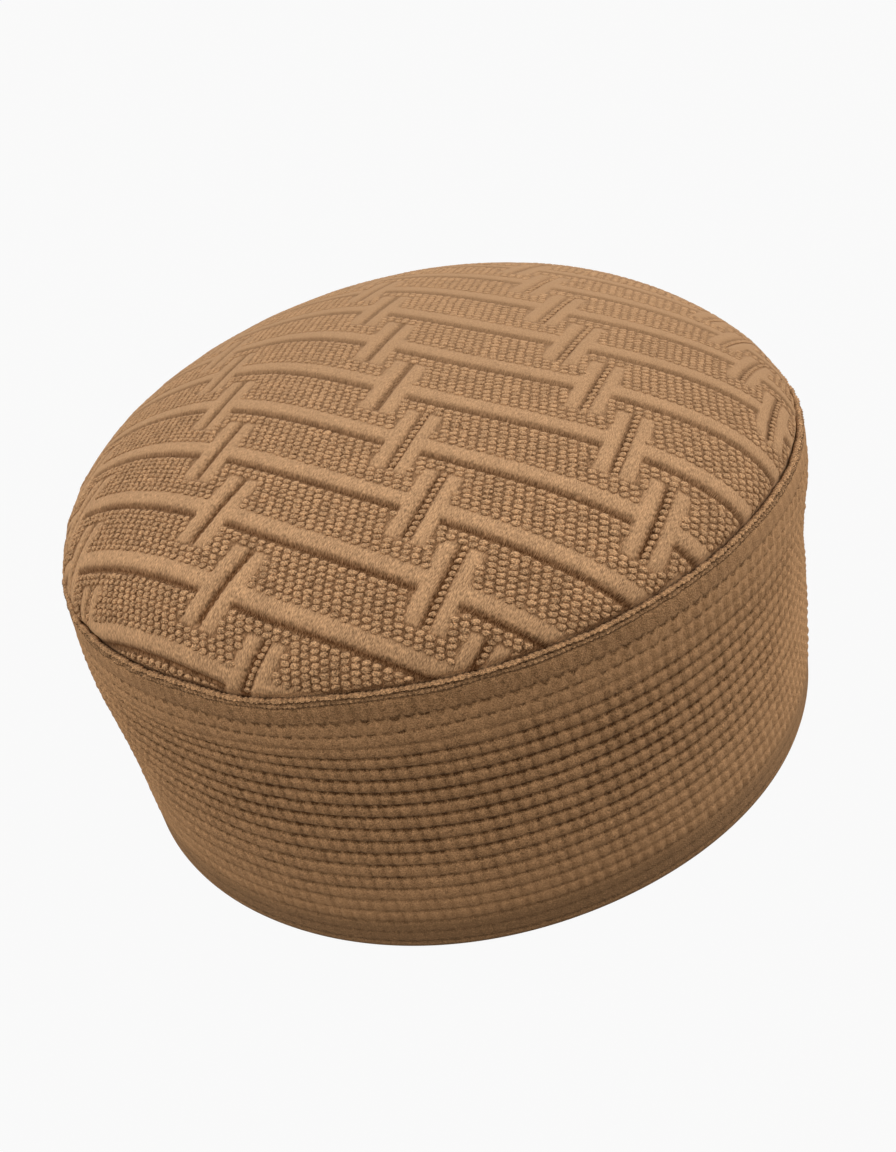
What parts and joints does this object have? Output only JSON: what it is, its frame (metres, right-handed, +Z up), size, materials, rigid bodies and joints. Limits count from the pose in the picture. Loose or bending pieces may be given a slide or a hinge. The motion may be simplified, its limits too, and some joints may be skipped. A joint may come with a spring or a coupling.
{
  "type": "kufi cap",
  "caption": "Brimless round knitted cap: straight ribbed band with a plain hem, a narrow linked lip and a domed crown with raised bars in a slanted fret pattern. Hollow, stands on its rim.",
  "frame": {"origin": "On the surface that the cap stands on, under the middle of its bounding box.", "axes": "+Z up through the crown; the front as pictured faces -Y, +X to the viewer's right."},
  "size_m": [0.1867, 0.1852, 0.1094],
  "materials": {
    "band_yarn": "matt felted knit, tan brown",
    "crown_yarn": "matt knit with raised smooth bars, tan brown",
    "lip_yarn": "matt linked stitches, tan brown"
  },
  "bodies": {
    "root": {"band": "band_yarn", "crown": "crown_yarn", "seam_lip": "lip_yarn"}
  },
  "joints": []
}
